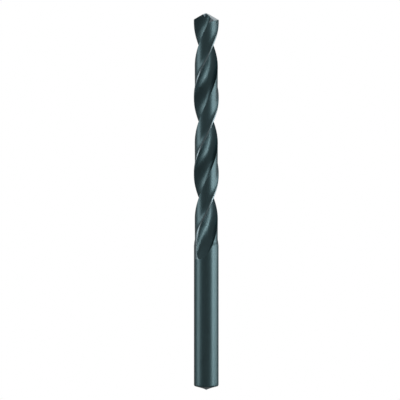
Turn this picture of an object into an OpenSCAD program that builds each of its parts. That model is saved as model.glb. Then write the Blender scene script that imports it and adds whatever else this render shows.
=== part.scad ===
// Twist drill bit, 8 mm, black oxide steel, with parallel shank.
// The drill stands on its axis with the point up. The origin is at the tip of the shank end.
// All sizes are in millimetres and all angles in degrees.

/* [Size] */
// Diameter over the margins
drill_diameter = 8.0; // [2:0.1:16]
// Length from the shank end to the point
overall_length = 120.7; // [60:0.1:200]
// Diameter of the shank
shank_diameter = 7.9; // [2:0.05:16]
// Height at which the flutes have run out
shank_top = 41.9; // [20:0.5:90]

/* [Flutes] */
// Length of one whole turn of a flute
lead = 48.9; // [20:0.1:90]
// Web thickness at the point
web_at_point = 1.25; // [0.4:0.05:3]
// Web thickness added over the length of the flutes
web_growth = 0.75; // [0:0.05:2]
// Angle of the circle that a land covers
land_angle = 80; // [60:1:110]
// Height above the end of a flute where it starts to lift out
exit_length = 10.5; // [4:0.1:20]
// Angle by which the middle of a flute moves toward its heel there
exit_shift = 22; // [0:1:40]

/* [Lands] */
// Angle of the circle that a margin covers
margin_angle = 9; // [4:0.5:20]
// Clearance radius next to the margin
clearance_at_margin = 3.62; // [1:0.01:8]
// Clearance radius at the heel
clearance_at_heel = 3.74; // [1:0.01:8]
// Rounding of the heel, as an angle of the circle
heel_rounding = 2.5; // [0.5:0.5:6]
// Height where the clearance starts to come out to the shank
clearance_end = 47.6; // [30:0.1:100]
// Length over which it comes out
clearance_fade = 1.5; // [0.2:0.1:5]

/* [Point] */
// Point angle
point_angle = 118; // [90:1:140]
// Half angle of the cone that each flank is part of
flank_cone = 40; // [31:1:55]
// Distance of that cone's tip from the middle of the point
flank_cone_reach = 7.0; // [4:0.1:12]
// Offset of that cone ahead of the cutting lip
flank_cone_offset = 1.6; // [0.5:0.1:3]
// Web left between the two thinning gashes
thinned_web = 0.2; // [0.1:0.02:1]

/* [Shank end] */
// Height of the rounded edge at the end
edge_height = 0.55; // [0.1:0.05:2]
// Width of the rounded edge
edge_width = 0.32; // [0.1:0.02:1]
// Height of the shallow cone under it
end_cone_height = 0.62; // [0:0.02:2]
// Radius of the pip left in the middle
pip_radius = 1.5; // [0.2:0.05:3]
// Height of that pip
pip_height = 0.62; // [0.1:0.02:2]

/* [Hidden] */
$fn = 96;
steel = [0.21, 0.28, 0.30];

radius = drill_diameter / 2;
shank_radius = shank_diameter / 2;

// The fluted body reaches down into the shank, a hair inside the shank's own round surface.
body_radius = shank_radius - 0.01;
body_root = shank_top - 1;
shank_end = shank_top + 0.05;

half_point = point_angle / 2;
turn_rate = 360 / lead;
web_radius = web_at_point / 2;

// The lip lies ahead of the axis by half the web, so its outer corner is turned by this much.
corner_angle = asin(web_radius / radius);

// Points along the cutting side of a flute, along its round side, and along a land.
rake_steps = 8;
round_steps = 8;
clearance_steps = 6;
margin_steps = 4;

// FLANKS
// Depth of one flank's cone under the level of its own ruling, at a place seen from above.
cone_tilt = half_point - flank_cone;
cone_back = flank_cone_reach * sin(half_point);
cone_side = web_radius + flank_cone_offset;
cone_a = pow(cos(cone_tilt), 2) - pow(cos(flank_cone), 2);
function cone_b(x) = (x + cone_back) * sin(cone_tilt) * cos(cone_tilt);
function cone_c(x, y) = pow((x + cone_back) * sin(cone_tilt), 2)
    - (pow(x + cone_back, 2) + pow(y - cone_side, 2)) * pow(cos(flank_cone), 2);
function cone_depth(x, y) =
    (sqrt(pow(cone_b(x), 2) - cone_a * cone_c(x, y)) - cone_b(x)) / cone_a;
cone_top = overall_length + cone_depth(0, 0);
function flank_height(x, y) = cone_top - cone_depth(x, y);
corner_height = flank_height(radius * cos(corner_angle), web_radius);

// FLUTES
// Angle of the margin's cutting edge at a height.
function edge_angle(z) = corner_angle + turn_rate * (z - corner_height);
// Half the web's thickness at a height.
function web_half(z) = web_radius + web_growth / 2
    * min(1, max(0, (corner_height - z) / (corner_height - shank_top)));
// How far through its exit a flute is at a height, from 0 to 1.
function exit_share(z) = max(0, shank_top + exit_length - z) / exit_length;

function polar(r, a) = [r * cos(a), r * sin(a)];
function mix(a, b, s) = a + (b - a) * s;

// The cutting side of a flute, which makes the lip straight: s runs from 0 at the margin to 1.
function rake_point(s, w) =
    let (
        reach = sqrt(radius * radius - w * w),
        x = reach * pow(1 - s, 1.6),
        back = turn_rate * (reach - x) / tan(half_point)
    )
    polar(sqrt(x * x + w * w), atan2(w, x) - asin(w / radius) - back);

// The round side of a flute, a circle that touches the web and ends at the heel.
function web_angle(w) =
    90 - asin(w / radius) - turn_rate * sqrt(radius * radius - w * w) / tan(half_point);
heel_angle = 180 - land_angle;
function round_radius(w) =
    let (h = clearance_at_heel, c = cos(heel_angle - web_angle(w)))
    (h * h + w * w - 2 * w * h * c) / (2 * h * c - 2 * w);
function round_middle(w) = polar(w + round_radius(w), web_angle(w));
function round_point(s, w) =
    let (
        m = round_middle(w),
        first = web_angle(w) + 180,
        h = polar(clearance_at_heel, heel_angle) - m,
        last = atan2(h[1], h[0])
    )
    m + polar(round_radius(w), first + (last - first) * s);

// One flute from its cutting edge, t = 0, to its heel, t = 2.
function flute_point(t, w) = t < 1 ? rake_point(t, w) : round_point(t - 1, w);

// In its exit a flute grows shallow and narrow, e being the share of the exit that is done.
function depth_share(e) = 1 - e * e;
function half_width(e) = max(3, heel_angle / 2 * pow(depth_share(e), 0.57));
function exit_point(t, w, e, r0, r2) =
    let (
        p = flute_point(t, w),
        g = atan2(p[1], p[0]),
        outside = mix(r0, r2, t / 2),
        middle = heel_angle / 2,
        turn = middle + exit_shift * e + (g - middle) * half_width(e) / middle
    )
    polar(mix(outside, norm(p), depth_share(e)), turn);

// LANDS
// Share of the way from the clearance out to the shank, at a height.
function shank_share(z) = min(1, max(0, (clearance_end - z) / clearance_fade));
function margin_radius(z) = mix(radius, body_radius, shank_share(z));
// Clearance radius at an angle past the cutting edge.
function clearance_radius(a, z) =
    let (s = max(0, min(1, (a - heel_angle) / (land_angle - margin_angle))))
    mix(mix(clearance_at_heel, clearance_at_margin, s), body_radius, shank_share(z));

// Share of the way from the margin's own points to evenly spread ones, below the clearance.
function spread(z) = min(1, max(0, (clearance_end - clearance_fade - z) / 1.2));
// A land from the heel at angle a to the next cutting edge at angle b, both left out.
function land_points(a, b, z) =
    let (
        foot = 180 - margin_angle - 2.5,
        top = 180 - margin_angle,
        start = a + heel_rounding,
        n = clearance_steps + margin_steps + 2
    )
    [for (i = [0 : n - 2])
        let (
            back = i <= clearance_steps,
            own = back ? mix(start, foot, i / clearance_steps)
                : mix(top, b, (i - clearance_steps - 1) / margin_steps),
            even = i == 0 ? start : mix(a, b, (i + 0.5) / (n - 0.5)),
            g = mix(own, even, spread(z))
        )
        polar(back ? clearance_radius(g, z) : margin_radius(z), g)];

// Half of the section at a height: a flute and the land behind it.
function half_section(z) =
    let (
        w = web_half(z), e = exit_share(z),
        r0 = margin_radius(z), r2 = clearance_radius(heel_angle, z),
        n = rake_steps + round_steps,
        flute = [for (i = [0 : n])
            exit_point(i < rake_steps ? i / rake_steps : 1 + (i - rake_steps) / round_steps,
                w, e, r0, r2)],
        b = 180 + atan2(flute[0][1], flute[0][0]),
        a = atan2(flute[n][1], flute[n][0])
    )
    concat(flute, land_points(a, b, z));

function turned(p, a) = [p[0] * cos(a) - p[1] * sin(a), p[0] * sin(a) + p[1] * cos(a)];
function ring(half, z) =
    [for (k = [0, 180]) for (p = half)
        let (q = turned(p, k + edge_angle(z))) [q[0], q[1], z]];

// Heights of the sections, close together where the flutes run out.
exit_steps = 22;
body_steps = 64;
body_top = overall_length + 0.3;
function exit_height(i) = shank_top + exit_length * pow(i / exit_steps, 1.5);
body_heights = concat(
    [for (i = [0 : exit_steps - 1]) exit_height(i)],
    [for (i = [0 : body_steps]) mix(shank_top + exit_length, body_top, i / body_steps)]
);

// The fluted body. It ends in a peak above the point, which the flanks cut off.
module fluted_body() {
    root = [for (p = ring(half_section(shank_top), shank_top)) [0.97 * p[0], 0.97 * p[1], body_root]];
    rings = concat([root], [for (z = body_heights) ring(half_section(z), z)]);
    n = len(rings[0]);
    last = len(rings) - 1;
    points = concat([for (r = rings) for (p = r) p], [[0, 0, body_top + 3]]);
    sides = [for (k = [0 : last - 1]) for (i = [0 : n - 1])
        let (j = (i + 1) % n, p = k * n, q = p + n)
        each [[p + i, q + i, q + j], [p + i, q + j, p + j]]];
    peak = [for (i = [0 : n - 1]) [last * n + i, len(points) - 1, last * n + (i + 1) % n]];
    base = [[for (i = [0 : n - 1]) i]];
    polyhedron(points = points, faces = concat(base, sides, peak), convexity = 10);
}

// POINT
// The cone that one flank is ground on.
module flank_cone_solid() {
    size = overall_length * 1.6;
    translate([-cone_back, cone_side, cone_top])
        rotate([0, -cone_tilt, 0])
            translate([0, 0, -size])
                cylinder(h = size, r1 = size * tan(flank_cone), r2 = 0);
}

// Everything on the outer side of a plane through a point, facing a direction.
module beyond(point, facing) {
    turn = atan2(facing[1], facing[0]);
    tilt = acos(facing[2] / norm(facing));
    translate(point)
        rotate([0, tilt, turn])
            translate([-12, -12, 0])
                cube([24, 24, 12]);
}

// What is ground away to thin the web on one side of the point. Its walls are the new inner
// end of the lip, the cap beside it, and the steep end toward the heel.
module gash() {
    start = [0, -thinned_web / 2, overall_length - 0.03];
    end = [1.05, -0.5, overall_length - 0.75];
    intersection() {
        beyond(start, [0.34, -0.92, 0.22]);
        beyond(start, [-0.36, -0.90, 0.24]);
        beyond(end, [-0.93, -0.25, 0.26]);
        translate([-4, -1.7, overall_length - 3]) cube([8, 4, 6]);
    }
}

// The flat that is ground on the heel so that it clears the hole.
module heel_flat() {
    heel = [1.67, -3.32, corner_height - 0.58];
    intersection() {
        beyond(heel, [-0.25, -0.63, 0.73]);
        beyond([1.0, -0.8, overall_length], [0.45, -0.9, 0]);
        translate([-4, -5, overall_length - 6]) cube([8, 5, 6]);
    }
}

// SHANK
// The plain shank with its rounded edge, shallow end cone and pip.
module shank() {
    cone_start = pip_height;
    edge_start = cone_start + end_cone_height;
    side_start = edge_start + edge_height;
    inner = shank_radius - edge_width;
    rotate_extrude()
        polygon(concat(
            [[0, 0]],
            [for (i = [1 : 5]) let (s = i / 5)
                [pip_radius * (0.12 + 0.88 * s), pip_height * (0.06 + 0.94 * pow(s, 0.8))]],
            [for (i = [0 : 4]) let (g = 90 * i / 4)
                [inner + edge_width * sin(g), side_start - edge_height * cos(g)]],
            [[shank_radius, shank_end], [0, shank_end]]
        ));
}

// The drill is one piece of steel.
module drill_bit() {
    color(steel)
    union() {
        difference() {
            intersection() {
                fluted_body();
                flank_cone_solid();
                rotate([0, 0, 180]) flank_cone_solid();
            }
            for (turn = [0, 180]) rotate([0, 0, turn]) {
                gash();
                heel_flat();
            }
        }
        shank();
    }
}

drill_bit();
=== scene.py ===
"""A twist drill bit in black oxide steel, upright before a plain white ground."""

import logging
import math
from dataclasses import dataclass
from enum import Enum

import bpy
from mathutils import Matrix, Vector


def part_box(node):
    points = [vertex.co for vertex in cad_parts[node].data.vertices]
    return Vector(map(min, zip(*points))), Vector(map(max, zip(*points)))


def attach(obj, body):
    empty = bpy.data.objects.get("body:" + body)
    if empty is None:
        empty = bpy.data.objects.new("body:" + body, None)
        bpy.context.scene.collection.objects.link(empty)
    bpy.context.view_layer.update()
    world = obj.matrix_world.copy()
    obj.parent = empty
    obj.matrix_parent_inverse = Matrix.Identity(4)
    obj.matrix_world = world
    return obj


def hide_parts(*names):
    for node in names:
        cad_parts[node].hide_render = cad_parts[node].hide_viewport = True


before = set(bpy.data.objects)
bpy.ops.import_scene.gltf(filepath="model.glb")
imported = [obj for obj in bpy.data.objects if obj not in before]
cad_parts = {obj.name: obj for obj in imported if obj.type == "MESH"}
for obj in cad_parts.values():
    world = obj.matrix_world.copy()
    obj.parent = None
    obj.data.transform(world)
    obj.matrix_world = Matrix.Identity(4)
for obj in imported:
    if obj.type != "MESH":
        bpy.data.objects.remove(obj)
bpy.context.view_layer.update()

# Sizes are written in millimetres, and MM takes them to the scene's metres.
MM = 0.001
SMALLEST = 1e-6
NODE = "drill_bit"
WHITE = (1.0, 1.0, 1.0, 1.0)
LOG = logging.getLogger("drill")

Point = tuple[float, float]
Place = tuple[float, float, float]
Ring = list[Place]
Colour = tuple[float, float, float]


def polar(radius: float, angle: float) -> Point:
    """A point of the plane at a radius and an angle in degrees."""
    turn = math.radians(angle)
    return radius * math.cos(turn), radius * math.sin(turn)


def angle_of(point: Point) -> float:
    """The angle of a point in degrees."""
    return math.degrees(math.atan2(point[1], point[0]))


def mix(first: float, second: float, share: float) -> float:
    """The value a share of the way from the first to the second."""
    return first + (second - first) * share


def limited(value: float) -> float:
    """The value held between 0 and 1."""
    return min(1.0, max(0.0, value))


def eased(value: float) -> float:
    """The value held between 0 and 1, with a smooth start and end."""
    share = limited(value)
    return share * share * (3 - 2 * share)


class Finish(Enum):
    """The finishes of the drill, by the number that its faces carry while it is ground."""

    BLACK_OXIDE = 0
    GROUND = 1
    MARGIN = 2

    @property
    def brightness(self) -> float:
        """How far the oxide has been ground or rubbed off, from 0 to 1."""
        return {Finish.BLACK_OXIDE: 0.0, Finish.GROUND: 1.0, Finish.MARGIN: 0.5}[self]


class Keep(Enum):
    """The part of a piece that a cut keeps, by the name of the boolean's operation."""

    INSIDE = "INTERSECT"
    OUTSIDE = "DIFFERENCE"


@dataclass(frozen=True)
class DrillSizes:
    """Driving sizes of the drill in millimetres and degrees, the largest of them from the frame."""

    length: float
    radius: float
    shank_radius: float = 3.95
    shank_top: float = 41.9
    lead: float = 48.9
    web_radius: float = 0.625
    web_growth: float = 0.375
    land_angle: float = 80.0
    exit_length: float = 10.5
    exit_shift: float = 22.0
    exit_end: float = 3.0
    exit_roundness: float = 0.57
    margin_angle: float = 7.5
    blend_angle: float = 26.0
    blend_power: float = 2.9
    clearance_at_margin: float = 3.65
    clearance_at_heel: float = 3.71
    edge_rounding: float = 0.22
    heel_rounding: float = 0.10
    clearance_end: float = 47.6
    clearance_fade: float = 1.5
    half_point: float = 59.0
    flank_cone: float = 40.0
    flank_reach: float = 7.0
    flank_offset: float = 1.6

    @classmethod
    def from_frame(cls) -> "DrillSizes":
        """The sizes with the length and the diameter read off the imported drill."""
        low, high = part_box(NODE)
        return cls(length=(high[2] - low[2]) / MM, radius=(high[0] - low[0]) / MM / 2)

    @property
    def turn_rate(self) -> float:
        """Degrees that the flutes turn in a millimetre of height."""
        return 360.0 / self.lead

    @property
    def heel_angle(self) -> float:
        """Angle from a cutting edge to the heel across its flute."""
        return 180.0 - self.land_angle

    @property
    def corner_angle(self) -> float:
        """Angle of the outer corner of the lip, which lies ahead of the axis by half the web."""
        return math.degrees(math.asin(self.web_radius / self.radius))


@dataclass(frozen=True)
class FlankCone:
    """The cone that one flank of the point is ground on."""

    sizes: DrillSizes

    @property
    def tilt(self) -> float:
        """Tilt of the cone's axis in degrees."""
        return self.sizes.half_point - self.sizes.flank_cone

    @property
    def back(self) -> float:
        """Distance of the cone's tip behind the drill's axis."""
        return self.sizes.flank_reach * math.sin(math.radians(self.sizes.half_point))

    @property
    def side(self) -> float:
        """Distance of the cone's tip ahead of the drill's axis."""
        return self.sizes.web_radius + self.sizes.flank_offset

    def depth(self, x: float, y: float) -> float:
        """How far the flank lies under the cone's tip at a place seen from above.

        Args:
            x: distance of the place from the axis along the lip.
            y: distance of the place from the axis across the lip.

        Returns:
            The depth in millimetres.
        """
        tilt, half = math.radians(self.tilt), math.radians(self.sizes.flank_cone)
        a = math.cos(tilt) ** 2 - math.cos(half) ** 2
        b = (x + self.back) * math.sin(tilt) * math.cos(tilt)
        spread = (x + self.back) ** 2 + (y - self.side) ** 2
        c = ((x + self.back) * math.sin(tilt)) ** 2 - spread * math.cos(half) ** 2
        return (math.sqrt(b * b - a * c) - b) / a

    @property
    def top(self) -> float:
        """Height of the cone's tip."""
        return self.sizes.length + self.depth(0.0, 0.0)

    def corner_height(self) -> float:
        """Height of the outer corner of the lip."""
        x, _ = polar(self.sizes.radius, self.sizes.corner_angle)
        return self.top - self.depth(x, self.sizes.web_radius)


@dataclass
class FluteSection:
    """The drill's section at any height, worked out as the tool that grinds it would leave it.

    The steps are the numbers of points along each stretch. The crowding brings the points of the
    cutting side together near the web. Below the end of the clearance the points of the land come
    to lie evenly apart, within the spread length. A rounding reaches no farther from its corner than
    the longest step, a share of the way to the next point.
    """

    sizes: DrillSizes
    corner_height: float
    rake_steps: int = 26
    round_steps: int = 26
    land_steps: int = 14
    blend_steps: int = 16
    margin_steps: int = 6
    corner_steps: int = 4
    rake_crowding: float = 1.6
    spread_length: float = 1.2
    longest_step: float = 0.9

    def edge_angle(self, z: float) -> float:
        """Angle of the first margin's cutting edge at a height."""
        return self.sizes.corner_angle + self.sizes.turn_rate * (z - self.corner_height)

    def web_half(self, z: float) -> float:
        """Half the web's thickness at a height."""
        drop = (self.corner_height - z) / (self.corner_height - self.sizes.shank_top)
        return self.sizes.web_radius + self.sizes.web_growth * limited(drop)

    def exit_share(self, z: float) -> float:
        """How far through its exit a flute is at a height, from 0 to 1."""
        s = self.sizes
        return limited((s.shank_top + s.exit_length - z) / s.exit_length)

    def shank_share(self, z: float) -> float:
        """Share of the way from the clearance out to the shank at a height."""
        return eased((self.sizes.clearance_end - z) / self.sizes.clearance_fade)

    def margin_radius(self, z: float) -> float:
        """Radius of the margins at a height."""
        return mix(self.sizes.radius, self.sizes.shank_radius, self.shank_share(z))

    def clearance_radius(self, angle: float, z: float) -> float:
        """Radius of the land, with its hollow rise to the margin.

        Args:
            angle: angle past the cutting edge.
            z: height of the section.

        Returns:
            The radius in millimetres.
        """
        s = self.sizes
        top = 180 - s.margin_angle
        share = limited((angle - s.heel_angle) / (top - s.heel_angle))
        rise = limited(1 - (top - angle) / s.blend_angle) ** s.blend_power
        own = mix(mix(s.clearance_at_heel, s.clearance_at_margin, share), s.radius, rise)
        return mix(own, s.shank_radius, self.shank_share(z))

    def lip_reach(self, web: float) -> float:
        """Length of the lip beside a web of a half thickness."""
        return math.sqrt(self.sizes.radius**2 - web * web)

    def lag(self, length: float) -> float:
        """Degrees that the helix turns while a length of the lip drops."""
        return self.sizes.turn_rate * length / math.tan(math.radians(self.sizes.half_point))

    def rake_point(self, share: float, web: float) -> Point:
        """A point of the cutting side, which makes the lip straight.

        Args:
            share: 0 at the margin and 1 at the web.
            web: half the web's thickness.

        Returns:
            The point in the section's own plane.
        """
        reach = self.lip_reach(web)
        x = reach * (1 - share) ** self.rake_crowding
        turn = angle_of((x, web)) - angle_of((reach, web)) - self.lag(reach - x)
        return polar(math.hypot(x, web), turn)

    def round_point(self, share: float, web: float) -> Point:
        """A point of the round side, a circle that touches the web and ends at the heel.

        Args:
            share: 0 at the web and 1 at the heel.
            web: half the web's thickness.

        Returns:
            The point in the section's own plane.
        """
        heel, heel_angle = self.sizes.clearance_at_heel, self.sizes.heel_angle
        reach = self.lip_reach(web)
        touch = 90 - angle_of((reach, web)) - self.lag(reach)
        across = math.cos(math.radians(heel_angle - touch))
        bend = (heel * heel + web * web - 2 * web * heel * across) / (2 * heel * across - 2 * web)
        middle = polar(web + bend, touch)
        end = polar(heel, heel_angle)
        last = angle_of((end[0] - middle[0], end[1] - middle[1]))
        step = polar(bend, mix(touch + 180, last, share))
        return middle[0] + step[0], middle[1] + step[1]

    def flute(self, z: float) -> list[Point]:
        """One flute, grown narrow and shallow in its exit.

        Args:
            z: height of the section.

        Returns:
            The points from the cutting edge to the heel.
        """
        s = self.sizes
        web, done = self.web_half(z), self.exit_share(z)
        depth = 1 - done * done
        middle = s.heel_angle / 2
        half = max(s.exit_end, middle * depth**s.exit_roundness)
        outer, heel = self.margin_radius(z), self.clearance_radius(s.heel_angle, z)
        points = []
        for i in range(self.rake_steps + self.round_steps + 1):
            if i < self.rake_steps:
                t = i / self.rake_steps
                own = self.rake_point(t, web)
            else:
                t = 1 + (i - self.rake_steps) / self.round_steps
                own = self.round_point(t - 1, web)
            turn = middle + s.exit_shift * done + (angle_of(own) - middle) * half / middle
            points.append(polar(mix(mix(outer, heel, t / 2), math.hypot(*own), depth), turn))
        return points

    def land(self, start: float, end: float, z: float) -> list[Point]:
        """The land from the heel to the next cutting edge, both left out.

        Args:
            start: angle of the heel.
            end: angle of the next cutting edge.
            z: height of the section.

        Returns:
            The points of the clearance, the margin's back edge and the margin.
        """
        s = self.sizes
        top = 180 - s.margin_angle
        foot = top - s.blend_angle
        heel_gap = math.degrees(s.heel_rounding / s.clearance_at_heel)
        edge_gap = math.degrees(s.edge_rounding / s.radius)
        turns = [mix(start + heel_gap, foot, i / self.land_steps) for i in range(self.land_steps)]
        turns += [mix(foot, top, i / self.blend_steps) for i in range(self.blend_steps)]
        own = [(turn, self.clearance_radius(turn, z)) for turn in turns]
        for i in range(self.margin_steps + 1):
            own.append((mix(top, end - edge_gap, i / self.margin_steps), self.margin_radius(z)))
        spread = eased((s.clearance_end - s.clearance_fade - z) / self.spread_length)
        count = len(own)
        even = [mix(start, end, (i + 1) / (count + 1)) for i in range(count)]
        return [polar(radius, mix(turn, flat, spread)) for (turn, radius), flat in zip(own, even)]

    def round_corner(self, before: Point, corner: Point, after: Point, size: float) -> list[Point]:
        """The points of a curve that rounds a corner.

        Args:
            before: the point before the corner.
            corner: the sharp corner.
            after: the point after it.
            size: how far the rounding reaches from the corner.

        Returns:
            The points from the side of the first to the side of the last.
        """
        at = Vector(corner)
        first, last = (at + self.step_to(at, Vector(other), size) for other in (before, after))
        points = []
        for i in range(self.corner_steps + 1):
            t = i / self.corner_steps
            points.append(tuple(first * (1 - t) ** 2 + at * (2 * t * (1 - t)) + last * t**2))
        return points

    def step_to(self, at: Vector, other: Vector, size: float) -> Vector:
        """A step of a size from a corner toward its neighbour, which it never reaches."""
        way = other - at
        return way * min(self.longest_step, size / max(way.length, SMALLEST))

    def half(self, z: float) -> list[Point]:
        """Half of the section: a flute and the land behind it, with rounded corners.

        Args:
            z: height of the section.

        Returns:
            The points in the section's own plane, before it is turned along the helix.
        """
        flute = self.flute(z)
        land = self.land(angle_of(flute[-1]), 180 + angle_of(flute[0]), z)
        last = (-land[-1][0], -land[-1][1])
        edge = self.round_corner(last, flute[0], flute[1], self.sizes.edge_rounding)
        heel = self.round_corner(flute[-2], flute[-1], land[0], self.sizes.heel_rounding)
        return edge + flute[1:-1] + heel + land

    def margin_columns(self) -> set[int]:
        """Which columns of faces lie on the margins.

        Returns:
            The numbers of the columns within the whole ring.
        """
        half = self.rake_steps + self.round_steps - 1 + 2 * (self.corner_steps + 1)
        half += self.land_steps + self.blend_steps + self.margin_steps + 1
        flat = [half - 1 - i for i in range(self.margin_steps + 1)]
        edge = list(range(self.corner_steps))
        return {i + side for i in flat + edge for side in (0, half)}

    def ring(self, z: float) -> Ring:
        """The whole section at a height, turned along the helix.

        Args:
            z: height of the section.

        Returns:
            The points of both halves, all at the height.
        """
        turn = math.radians(self.edge_angle(z))
        half = self.half(z)
        points: Ring = []
        for side in (0.0, math.pi):
            c, s = math.cos(turn + side), math.sin(turn + side)
            points += [(x * c - y * s, x * s + y * c, z) for x, y in half]
        return points


def deselect() -> None:
    """Leaves object mode with nothing selected."""
    if bpy.context.mode != "OBJECT":
        bpy.ops.object.mode_set(mode="OBJECT")
    bpy.ops.object.select_all(action="DESELECT")


def activate(piece: bpy.types.Object) -> None:
    """Makes a piece the only selected and the active one.

    Args:
        piece: the piece that the next operators act on.
    """
    deselect()
    piece.select_set(True)
    bpy.context.view_layer.objects.active = piece


def extrude_along_axis(height: float) -> None:
    """Extrudes what is selected in edit mode along the drill's axis, by a height in metres."""
    bpy.ops.mesh.extrude_region_move(TRANSFORM_OT_translate={"value": (0, 0, height)})


def face_outwards() -> None:
    """Turns all faces outwards and leaves edit mode."""
    bpy.ops.mesh.select_all(action="SELECT")
    bpy.ops.mesh.normals_make_consistent(inside=False)
    bpy.ops.object.mode_set(mode="OBJECT")


def carry_finishes(mesh: bpy.types.Mesh) -> None:
    """Gives a mesh a stand-in material for each finish, to carry it through the boolean cuts.

    Args:
        mesh: the mesh, whose faces then name their finish by its number.
    """
    mesh.materials.clear()
    for finish in Finish:
        name = "marker_" + finish.name.lower()
        mesh.materials.append(bpy.data.materials.get(name) or bpy.data.materials.new(name))


def cut(body: bpy.types.Object, tool: bpy.types.Object, keep: Keep, finish: Finish | None = None) -> None:
    """Cuts a body with a tool and deletes the tool.

    Args:
        body: the piece that is cut.
        tool: the solid it is cut with.
        keep: the part of the body that stays.
        finish: the finish that the cut faces get, if any.
    """
    if finish is not None:
        carry_finishes(tool.data)
        for face in tool.data.polygons:
            face.material_index = finish.value
    activate(body)
    step = body.modifiers.new("cut", "BOOLEAN")
    step.operation = keep.value
    step.solver = "EXACT"
    step.object = tool
    bpy.ops.object.modifier_apply(modifier=step.name)
    mesh = tool.data
    bpy.data.objects.remove(tool)
    bpy.data.meshes.remove(mesh)


@dataclass
class Shank:
    """The plain shank with its rounded edge, shallow end cone and hollow-sided pip.

    The tip of the pip is given as shares of its radius and height. The hollow is the power by which
    its sides curve in.
    """

    sizes: DrillSizes
    edge_height: float = 0.55
    edge_width: float = 0.32
    end_cone_height: float = 0.62
    pip_radius: float = 1.5
    pip_height: float = 0.62
    pip_hollow: float = 0.8
    tip_radius_share: float = 0.06
    tip_height_share: float = 0.03
    plain_steps: int = 28
    edge_steps: int = 10
    cone_steps: int = 5
    pip_steps: int = 12

    def profile(self) -> list[Point]:
        """The outline from the top of the shank down to just above the pip's tip.

        Returns:
            The radius and the height of each ring.
        """
        outer = self.sizes.shank_radius
        inner = outer - self.edge_width
        foot = self.pip_height + self.end_cone_height
        top = foot + self.edge_height
        points = []
        for i in range(self.plain_steps + 1):
            points.append((outer, mix(self.sizes.shank_top, top, i / self.plain_steps)))
        for i in range(1, self.edge_steps + 1):
            turn = math.pi / 2 * i / self.edge_steps
            across = inner + self.edge_width * math.cos(turn)
            points.append((across, top - self.edge_height * math.sin(turn)))
        for i in range(1, self.cone_steps + 1):
            share = i / self.cone_steps
            points.append((mix(inner, self.pip_radius, share), mix(foot, self.pip_height, share)))
        for i in range(1, self.pip_steps):
            share = 1 - i / self.pip_steps
            across = self.pip_radius * mix(self.tip_radius_share, 1, share)
            up = self.pip_height * mix(self.tip_height_share, 1, share**self.pip_hollow)
            points.append((across, up))
        return points

    def draw(self, body: bpy.types.Object) -> None:
        """Draws the shank down from the open rim of the fluted body, and closes its tip.

        Args:
            body: the fluted body, whose only open edges are its rim.
        """
        activate(body)
        bpy.ops.object.mode_set(mode="EDIT")
        bpy.ops.mesh.select_mode(type="EDGE")
        bpy.ops.mesh.select_all(action="DESELECT")
        bpy.ops.mesh.select_non_manifold()
        profile = self.profile()
        for (radius, z), (next_radius, next_z) in zip(profile, profile[1:]):
            extrude_along_axis((next_z - z) * MM)
            share = next_radius / radius
            bpy.ops.transform.resize(value=(share, share, 1), center_override=(0, 0, next_z * MM))
        extrude_along_axis(-profile[-1][1] * MM)
        bpy.ops.mesh.merge(type="CENTER")
        face_outwards()


@dataclass
class FlutedBody:
    """The fluted body, a stack of sections from the run-out to above the point.

    The crowding brings the sections together at the end of the flutes. The body stands over the
    drill's length and ends in a peak above that, and the point is ground out of it.
    """

    section: FluteSection
    exit_rings: int = 72
    exit_crowding: float = 1.5
    body_rings: int = 250
    over: float = 0.4
    peak: float = 3.0

    def heights(self) -> list[float]:
        """Heights of the sections, close together where the flutes run out.

        Returns:
            The heights from the top of the shank upward.
        """
        s = self.section.sizes
        shares = [(i / self.exit_rings) ** self.exit_crowding for i in range(self.exit_rings)]
        low = [s.shank_top + s.exit_length * share for share in shares]
        start, end = s.shank_top + s.exit_length, s.length + self.over
        return low + [mix(start, end, i / self.body_rings) for i in range(self.body_rings + 1)]

    def build(self) -> bpy.types.Object:
        """Joins the sections by quads, with a peak on top and the bottom left open.

        Returns:
            The body, with the faces of its margins marked.
        """
        rings = [self.section.ring(z) for z in self.heights()]
        count = len(rings[0])
        points = [point for ring in rings for point in ring]
        faces: list[tuple[int, ...]] = []
        for k in range(len(rings) - 1):
            low, high = k * count, (k + 1) * count
            for i in range(count):
                j = (i + 1) % count
                faces.append((low + i, low + j, high + j, high + i))
        walls, last = len(faces), (len(rings) - 1) * count
        points.append((0.0, 0.0, rings[-1][0][2] + self.peak))
        faces += [(last + i, last + (i + 1) % count, len(points) - 1) for i in range(count)]
        mesh = bpy.data.meshes.new("drill")
        mesh.from_pydata([Vector(point) * MM for point in points], [], faces)
        carry_finishes(mesh)
        columns = self.section.margin_columns()
        for face in mesh.polygons[:walls]:
            if face.index % count in columns:
                face.material_index = Finish.MARGIN.value
        body = bpy.data.objects.new("drill", mesh)
        bpy.context.scene.collection.objects.link(body)
        return body


@dataclass(frozen=True)
class Wall:
    """A plane through a place counted from the drill's tip, and the way it faces."""

    through: Place
    facing: Place


@dataclass(frozen=True)
class Wedge:
    """What a wheel grinds away: a box counted from the drill's tip, cut off by walls."""

    low: Place
    high: Place
    walls: tuple[Wall, ...]


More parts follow.
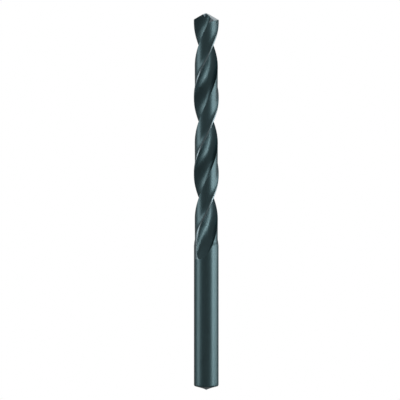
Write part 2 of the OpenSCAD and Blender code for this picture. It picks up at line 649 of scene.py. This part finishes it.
@dataclass
class GroundPoint:
    """The ground point: two flanks, two gashes that thin the web and two heel flats.

    The grid is the number of steps across a flank, and the reach is its breadth and thickness. The
    block is the side of the cubes that lie beyond the walls.
    """

    sizes: DrillSizes
    cone: FlankCone
    half_turns: tuple[float, float] = (0.0, math.pi)
    grid: int = 90
    reach: float = 9.0
    block: float = 24.0
    gash: Wedge = Wedge(
        low=(-2.05, -1.7, -1.2),
        high=(0.0, 2.3, 3.0),
        walls=(
            Wall((-1.0, -0.6, 0.0), (0.47, -0.88, -0.05)),
            Wall((-1.05, -0.6, -0.2), (0.9, -0.2, 0.42)),
        ),
    )
    heel_flat: Wedge = Wedge(
        low=(-1.0, -5.0, -6.0),
        high=(4.0, -0.5, 3.0),
        walls=(Wall((0.97, -1.5, -1.25), (0.05, -0.70, 0.71)),),
    )

    def flank(self) -> bpy.types.Object:
        """A block whose lower side is one flank, for grinding away what lies above it.

        Returns:
            The block.
        """
        deselect()
        steps, size = self.grid, self.reach * MM
        bpy.ops.mesh.primitive_grid_add(
            x_subdivisions=steps, y_subdivisions=steps, size=size, location=(0, 0, 0)
        )
        block = bpy.context.object
        for vertex in block.data.vertices:
            x, y = vertex.co.x / MM, vertex.co.y / MM
            vertex.co.z = (self.cone.top - self.cone.depth(x, y)) * MM
        bpy.ops.object.mode_set(mode="EDIT")
        bpy.ops.mesh.select_all(action="SELECT")
        extrude_along_axis(self.reach * MM)
        face_outwards()
        return block

    def from_tip(self, place: Place) -> Vector:
        """A place counted from the drill's tip, as one in the drill's frame."""
        return Vector((place[0], place[1], self.sizes.length + place[2]))

    def beyond(self, wall: Wall) -> bpy.types.Object:
        """A block that fills everything near a wall on its outer side.

        Args:
            wall: the plane, which the block touches.

        Returns:
            The block.
        """
        deselect()
        bpy.ops.mesh.primitive_cube_add(size=self.block * MM, location=(0, 0, 0))
        block = bpy.context.object
        block.data.transform(Matrix.Translation((0, 0, self.block / 2 * MM)))
        turn = Vector((0, 0, 1)).rotation_difference(Vector(wall.facing)).to_matrix().to_4x4()
        block.data.transform(Matrix.Translation(self.from_tip(wall.through) * MM) @ turn)
        return block

    def wedge(self, shape: Wedge) -> bpy.types.Object:
        """A block with the form of what a wheel grinds away.

        Args:
            shape: the box and the walls that cut it off.

        Returns:
            The block.
        """
        deselect()
        bpy.ops.mesh.primitive_cube_add(size=1, location=(0, 0, 0))
        block = bpy.context.object
        low, high = self.from_tip(shape.low), self.from_tip(shape.high)
        size, middle = (high - low) * MM, (high + low) * MM / 2
        block.data.transform(Matrix.Translation(middle) @ Matrix.Diagonal((*size, 1)))
        for wall in shape.walls:
            cut(block, self.beyond(wall), Keep.INSIDE)
        return block

    def grind_away(self, body: bpy.types.Object, tool: bpy.types.Object, turn: float) -> None:
        """Grinds away what lies in a tool, turned about the drill's axis by an angle in radians."""
        tool.data.transform(Matrix.Rotation(turn, 4, "Z"))
        cut(body, tool, Keep.OUTSIDE, Finish.GROUND)

    def grind(self, body: bpy.types.Object) -> None:
        """Grinds the point on the fluted body.

        Args:
            body: the body, still without a point.
        """
        for turn in self.half_turns:
            self.grind_away(body, self.flank(), turn)
        for turn in self.half_turns:
            for shape in (self.gash, self.heel_flat):
                self.grind_away(body, self.wedge(shape), turn)


class Socket:
    """A shader value on which arithmetic can be written."""

    def __init__(self, graph: "Graph", output: bpy.types.NodeSocket) -> None:
        """Keeps the graph and the output it stands for."""
        self.graph, self.output = graph, output

    def _math(self, how: str, *values: "Socket | float") -> "Socket":
        """A Math node over values."""
        return self.graph.node("ShaderNodeMath", {"operation": how}, dict(enumerate(values)))

    def __add__(self, other: "Socket | float") -> "Socket":
        """Sum."""
        return self._math("ADD", self, other)

    __radd__ = __add__

    def __sub__(self, other: "Socket | float") -> "Socket":
        """Difference."""
        return self._math("SUBTRACT", self, other)

    def __rsub__(self, other: "Socket | float") -> "Socket":
        """Difference from another value."""
        return self._math("SUBTRACT", other, self)

    def __mul__(self, other: "Socket | float") -> "Socket":
        """Product."""
        return self._math("MULTIPLY", self, other)

    __rmul__ = __mul__

    def __truediv__(self, other: "Socket | float") -> "Socket":
        """Quotient."""
        return self._math("DIVIDE", self, other)

    def __rtruediv__(self, other: "Socket | float") -> "Socket":
        """Quotient of another value by this one."""
        return self._math("DIVIDE", other, self)

    def limited(self) -> "Socket":
        """The value held between 0 and 1."""
        return self.graph.node("ShaderNodeClamp", {}, {"Value": self})


class Graph:
    """Builds the nodes of one material or world."""

    def __init__(self, tree: bpy.types.NodeTree) -> None:
        """Starts from an empty tree."""
        self.tree = tree
        tree.nodes.clear()

    def node(
        self,
        kind: str,
        settings: dict[str, object],
        inputs: dict[str | int, object],
        output: int | str = 0,
    ) -> Socket | None:
        """Adds a node.

        Args:
            kind: the node's type.
            settings: its own settings, set first.
            inputs: values or links by socket name or number.
            output: the output that is wanted.

        Returns:
            The wanted output, or None for the node that ends a tree.
        """
        made = self.tree.nodes.new(kind)
        for key, value in settings.items():
            setattr(made, key, value)
        for key, value in inputs.items():
            socket = made.inputs[key]
            if isinstance(value, Socket):
                self.tree.links.new(value.output, socket)
            else:
                socket.default_value = value
        return Socket(self, made.outputs[output]) if len(made.outputs) else None

    def mix_colours(self, share: Socket, first: Socket | Colour, second: Socket | Colour) -> Socket:
        """Mixes two colours.

        Args:
            share: how far the result lies from the first to the second.
            first: the colour at 0.
            second: the colour at 1.

        Returns:
            The mixed colour.
        """
        factor_socket, first_socket, second_socket, result_socket = 0, 6, 7, 2
        inputs = {factor_socket: share}
        for socket, colour in ((first_socket, first), (second_socket, second)):
            inputs[socket] = colour if isinstance(colour, Socket) else (*colour, 1.0)
        return self.node("ShaderNodeMix", {"data_type": "RGBA"}, inputs, result_socket)

    def white_to_camera(self, own: Socket, white: Socket) -> Socket:
        """A shader that looks white to the camera and is its own to the light and the steel."""
        camera = self.node("ShaderNodeLightPath", {}, {}, "Is Camera Ray")
        return self.node("ShaderNodeMixShader", {}, {0: camera, 1: own, 2: white})


@dataclass(frozen=True)
class Speckle:
    """Smooth noise on the steel, of one scale all ways or with a scale along each axis."""

    scale: float = 1.0
    stretch: Place | None = None
    detail: float = 2.0
    rough: float = 0.5

    def over(self, where: Socket) -> Socket:
        """Lays the noise over the steel.

        Args:
            where: the coordinates it is laid on.

        Returns:
            The noise, between 0 and 1.
        """
        if self.stretch is not None:
            inputs = {"Vector": where, "Scale": self.stretch}
            where = where.graph.node("ShaderNodeMapping", {}, inputs)
        inputs = {"Vector": where, "Scale": self.scale, "Detail": self.detail, "Roughness": self.rough}
        return where.graph.node("ShaderNodeTexNoise", {}, inputs)


@dataclass(frozen=True)
class DrillSteel:
    """Black oxide steel, paler where the point is ground and where the margins are rubbed.

    Clouds and a grain along the axis shade the oxide, and they make the steel unevenly rough. The
    grain and a finer speckle are also its slight relief.
    """

    oxide: Colour = (0.072, 0.135, 0.149)
    oxide_light: Colour = (0.088, 0.165, 0.183)
    ground: Colour = (0.38, 0.48, 0.52)
    ground_shade: float = 0.82
    roughness: float = 0.440
    ground_roughness: float = 0.28
    coat: float = 0.577
    coat_roughness: float = 0.293
    cloud: Speckle = Speckle(stretch=(260, 260, 120), detail=3.0)
    grain: Speckle = Speckle(stretch=(3200, 3200, 800), rough=0.6)
    fine: Speckle = Speckle(scale=5200.0, detail=1.0)
    middle: float = 0.5
    contrast: float = 1.6
    grain_roughness: float = 0.10
    cloud_roughness: float = 0.06
    grain_relief: float = 0.7
    fine_relief: float = 0.3
    bump_strength: float = 0.05
    bump_distance: float = 0.00002

    def material(self) -> bpy.types.Material:
        """Builds the finish as nodes.

        Returns:
            The material, which reads the attribute named brightness.
        """
        made = bpy.data.materials.new("black_oxide_steel")
        made.use_nodes = True
        g = Graph(made.node_tree)
        where = g.node("ShaderNodeTexCoord", {}, {}, "Object")
        ground = g.node("ShaderNodeAttribute", {"attribute_name": "brightness"}, {}, "Fac")
        cloud, grain, fine = (noise.over(where) for noise in (self.cloud, self.grain, self.fine))
        shade = ((cloud + grain - 1.0) * self.contrast + self.middle).limited()
        oxide = g.mix_colours(shade, self.oxide, self.oxide_light)
        dull = tuple(value * self.ground_shade for value in self.ground)
        steel = g.mix_colours(grain, dull, self.ground)
        uneven = (grain - self.middle) * self.grain_roughness + (cloud - self.middle) * self.cloud_roughness
        smoother = ground * (self.roughness - self.ground_roughness)
        bump = {
            "Strength": self.bump_strength,
            "Distance": self.bump_distance,
            "Height": grain * self.grain_relief + fine * self.fine_relief,
        }
        shader = {
            "Base Color": g.mix_colours(ground, oxide, steel),
            "Metallic": 1.0,
            "Roughness": uneven - smoother + self.roughness,
            "Coat Weight": self.coat,
            "Coat Roughness": self.coat_roughness,
            "Normal": g.node("ShaderNodeBump", {}, bump),
        }
        surface = g.node("ShaderNodeBsdfPrincipled", {}, shader)
        g.node("ShaderNodeOutputMaterial", {}, {"Surface": surface})
        return made


@dataclass
class Drill:
    """The whole drill, which takes the place of the plain solid."""

    sizes: DrillSizes
    finish: DrillSteel = DrillSteel()
    smooth_angle: float = 24.0

    def build(self) -> bpy.types.Object:
        """Builds, grinds and dresses the drill.

        Returns:
            The finished piece.
        """
        cone = FlankCone(self.sizes)
        section = FluteSection(self.sizes, cone.corner_height())
        shank = Shank(self.sizes)
        drill = FlutedBody(section).build()
        shank.draw(drill)
        GroundPoint(self.sizes, cone).grind(drill)
        self.mark_brightness(drill, shank.pip_height)
        self.dress(drill)
        return drill

    def mark_brightness(self, drill: bpy.types.Object, pip_height: float) -> None:
        """Keeps how bright each face is ground as an attribute.

        Args:
            drill: the drill, whose faces name their finish by its number.
            pip_height: height of the pip, which is ground as the point is.
        """
        mesh = drill.data
        mark = mesh.attributes.new("brightness", "FLOAT", "FACE")
        levels = {finish.value: finish.brightness for finish in Finish}
        values = [levels[face.material_index] for face in mesh.polygons]
        for face in mesh.polygons:
            if face.center.z < pip_height * MM:
                values[face.index] = Finish.GROUND.brightness
            elif face.center.z < self.sizes.shank_top * MM:
                values[face.index] = Finish.BLACK_OXIDE.brightness
        mark.data.foreach_set("value", values)

    def dress(self, drill: bpy.types.Object) -> None:
        """Gives the drill its finish in place of the stand-in materials, and smooths it by angle.

        Args:
            drill: the drill, with its brightness marked.
        """
        mesh = drill.data
        mesh.materials.clear()
        mesh.materials.append(self.finish.material())
        mesh.polygons.foreach_set("material_index", [0] * len(mesh.polygons))
        activate(drill)
        bpy.ops.object.shade_smooth_by_angle(angle=math.radians(self.smooth_angle))


@dataclass(frozen=True)
class PhotoView:
    """The camera where the photograph was taken, with the picture taken as 400 x 400."""

    picture: float = 400.0
    pixels_per_mm: float = 3.121
    axis_x: float = 206.28
    end_y: float = 389.9
    eye_y: float = 200.0
    distance_px: float = 1800.0
    film: float = 36.0
    clip_end: float = 10.0

    def build(self) -> None:
        """Adds the camera and makes it the scene's."""
        lens = bpy.data.cameras.new("photo_camera")
        camera = bpy.data.objects.new("photo_camera", lens)
        bpy.context.scene.collection.objects.link(camera)
        scale = MM / self.pixels_per_mm
        camera.location = (0, -self.distance_px * scale, (self.end_y - self.eye_y) * scale)
        camera.rotation_euler = (math.pi / 2, 0, 0)
        lens.sensor_width = self.film
        lens.lens = self.film * self.distance_px / self.picture
        lens.shift_x = (self.picture / 2 - self.axis_x) / self.picture
        lens.shift_y = (self.eye_y - self.picture / 2) / self.picture
        lens.clip_end = self.clip_end
        bpy.context.scene.camera = camera


@dataclass(frozen=True)
class SoftBox:
    """A soft rectangular light that looks at the drill.

    The azimuth is counted from the camera's side, positive to the right, and the elevation from the
    level of the drill's middle. The breadth and the height are given as the angles they fill, and
    the distance is in metres.
    """

    name: str
    azimuth: float
    elevation: float
    breadth: float
    height: float
    radiance: float
    roll: float = 0.0
    distance: float = 1.0

    def side(self, angle: float) -> float:
        """Length that fills an angle in degrees at the light's distance."""
        return 2 * self.distance * math.tan(math.radians(angle / 2))

    def build(self, target: Vector) -> None:
        """Adds the light.

        Args:
            target: the place it looks at.
        """
        lamp = bpy.data.lights.new(self.name, "AREA")
        lamp.shape = "RECTANGLE"
        lamp.size, lamp.size_y = self.side(self.breadth), self.side(self.height)
        lamp.energy = self.radiance * math.pi * lamp.size * lamp.size_y
        light = bpy.data.objects.new(self.name, lamp)
        bpy.context.scene.collection.objects.link(light)
        turn, rise = math.radians(self.azimuth), math.radians(self.elevation)
        way = Vector((math.sin(turn) * math.cos(rise), -math.cos(turn) * math.cos(rise), math.sin(rise)))
        light.location = target + way * self.distance
        facing = (-way).to_track_quat("-Z", "Y").to_matrix().to_4x4()
        light.rotation_euler = (facing @ Matrix.Rotation(math.radians(self.roll), 4, "Z")).to_euler()
        light.visible_camera = False


@dataclass(frozen=True)
class Studio:
    """White ground, pale floor far below the held drill, and the soft boxes.

    To the steel the room is grey, with a darker backdrop behind the drill. The backdrop's start,
    spread, height and reach are parts of a direction of length 1. Other lengths are in metres.
    """

    grey: float = 0.224
    back: float = 0.158
    back_start: float = 0.430
    back_spread: float = 0.7
    back_height: float = -0.100
    back_reach: float = 0.240
    floor_depth: float = 0.09
    floor_size: float = 4.0
    floor_grey: float = 0.431
    middle: float = 0.06
    boxes: tuple[SoftBox, ...] = (
        SoftBox(
            "left_box",
            azimuth=-78.9,
            elevation=-2.0,
            breadth=31.9,
            height=39.5,
            radiance=1.88,
            roll=10.2,
            distance=0.753,
        ),
        SoftBox(
            "right_front_box",
            azimuth=63.9,
            elevation=-8.5,
            breadth=19.6,
            height=20.9,
            radiance=3.75,
            roll=-6.3,
            distance=0.629,
        ),
        SoftBox(
            "right_side_box",
            azimuth=87.6,
            elevation=2.9,
            breadth=50.1,
            height=23.8,
            radiance=2.30,
            roll=-7.5,
            distance=0.629,
        ),
        SoftBox("upper_box", azimuth=170.0, elevation=38.0, breadth=60.0, height=40.0, radiance=0.5),
    )

    def room_level(self, g: Graph) -> Socket:
        """Brightness of the room, with its backdrop behind the drill.

        Args:
            g: the graph of the world.

        Returns:
            The brightness by direction.
        """
        way = g.node("ShaderNodeTexCoord", {}, {}, "Generated")
        away = g.node("ShaderNodeSeparateXYZ", {}, {"Vector": way}, "Y")
        up = g.node("ShaderNodeSeparateXYZ", {}, {"Vector": way}, "Z")
        end = self.back_start + self.back_spread
        behind = g.node(
            "ShaderNodeMapRange",
            {"interpolation_type": "SMOOTHSTEP"},
            {"Value": away, "From Min": self.back_start, "From Max": end, "To Min": 0.0, "To Max": 1.0},
        )
        off = (up - self.back_height) / self.back_reach
        glow = g.node("ShaderNodeMath", {"operation": "EXPONENT"}, {0: off * off * -1.0})
        return behind * glow * (self.back - self.grey) + self.grey

    def world(self) -> None:
        """A white ground for the camera, and a dim room with a backdrop for the steel."""
        world = bpy.data.worlds.new("studio")
        bpy.context.scene.world = world
        world.use_nodes = True
        g = Graph(world.node_tree)
        room = g.node("ShaderNodeBackground", {}, {"Color": WHITE, "Strength": self.room_level(g)})
        white = g.node("ShaderNodeBackground", {}, {"Color": WHITE, "Strength": 1.0})
        g.node("ShaderNodeOutputWorld", {}, {"Surface": g.white_to_camera(room, white)})

    def floor(self) -> None:
        """A pale floor, white to the camera and grey to the steel."""
        deselect()
        bpy.ops.mesh.primitive_plane_add(size=self.floor_size, location=(0, 0, -self.floor_depth))
        floor = bpy.context.object
        floor.name = "floor"
        made = bpy.data.materials.new("pale_floor")
        made.use_nodes = True
        g = Graph(made.node_tree)
        matt = g.node("ShaderNodeBsdfDiffuse", {}, {"Color": (*[self.floor_grey] * 3, 1.0)})
        white = g.node("ShaderNodeEmission", {}, {"Color": WHITE, "Strength": 1.0})
        g.node("ShaderNodeOutputMaterial", {}, {"Surface": g.white_to_camera(matt, white)})
        floor.data.materials.append(made)

    def build(self) -> None:
        """Builds the whole studio and sets the plain view."""
        self.world()
        self.floor()
        for box in self.boxes:
            box.build(Vector((0, 0, self.middle)))
        bpy.context.scene.view_settings.view_transform = "Standard"


def main() -> None:
    """Builds the drill, the studio and the camera."""
    logging.basicConfig(level=logging.INFO, format="%(message)s")
    drill = Drill(DrillSizes.from_frame()).build()
    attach(drill, "root")
    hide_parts(NODE)
    LOG.info("%s: %d faces", drill.name, len(drill.data.polygons))
    Studio().build()
    PhotoView().build()
    LOG.info("studio and camera in place")


if __name__ == "__main__":
    main()
